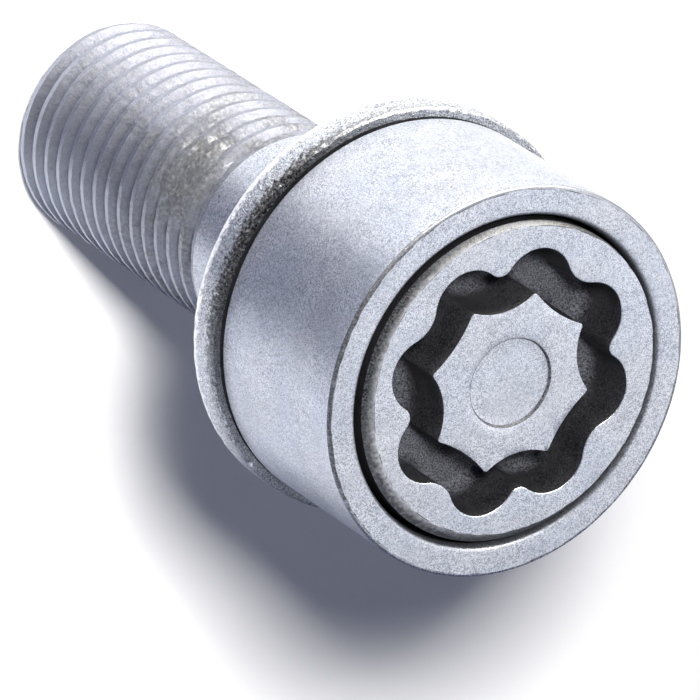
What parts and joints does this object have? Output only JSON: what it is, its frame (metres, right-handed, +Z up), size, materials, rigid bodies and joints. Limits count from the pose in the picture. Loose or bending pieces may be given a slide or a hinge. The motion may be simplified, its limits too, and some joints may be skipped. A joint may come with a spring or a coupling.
{
  "type": "locking wheel bolt",
  "caption": "Locking wheel bolt: threaded shank, ball seat and flange, a round head with a wavy key groove, and a plain sleeve that spins freely round the head.",
  "frame": {"origin": "on the bolt's axis, in the flat end of its thread, on which it stands", "axes": "+Z up along the bolt's axis, from the thread to the head; +X through a tight cusp of the key groove"},
  "size_m": [0.026, 0.026, 0.0476],
  "materials": {
    "bolt_coating": "matt zinc flake coating with a fine grain",
    "sleeve_coating": "matt zinc flake coating with a fine grain",
    "spring_steel": "dark oiled spring steel"
  },
  "bodies": {
    "bolt_body": {"bolt": "bolt_coating", "retaining_ring": "spring_steel"},
    "sleeve_body": {"sleeve": "sleeve_coating"}
  },
  "joints": [
    {"name": "sleeve_spin", "type": "hinge", "parent": "bolt_body", "child": "sleeve_body", "pos_m": [0, 0, 0.04134], "axis": [0, 0, 1], "continuous": true}
  ]
}
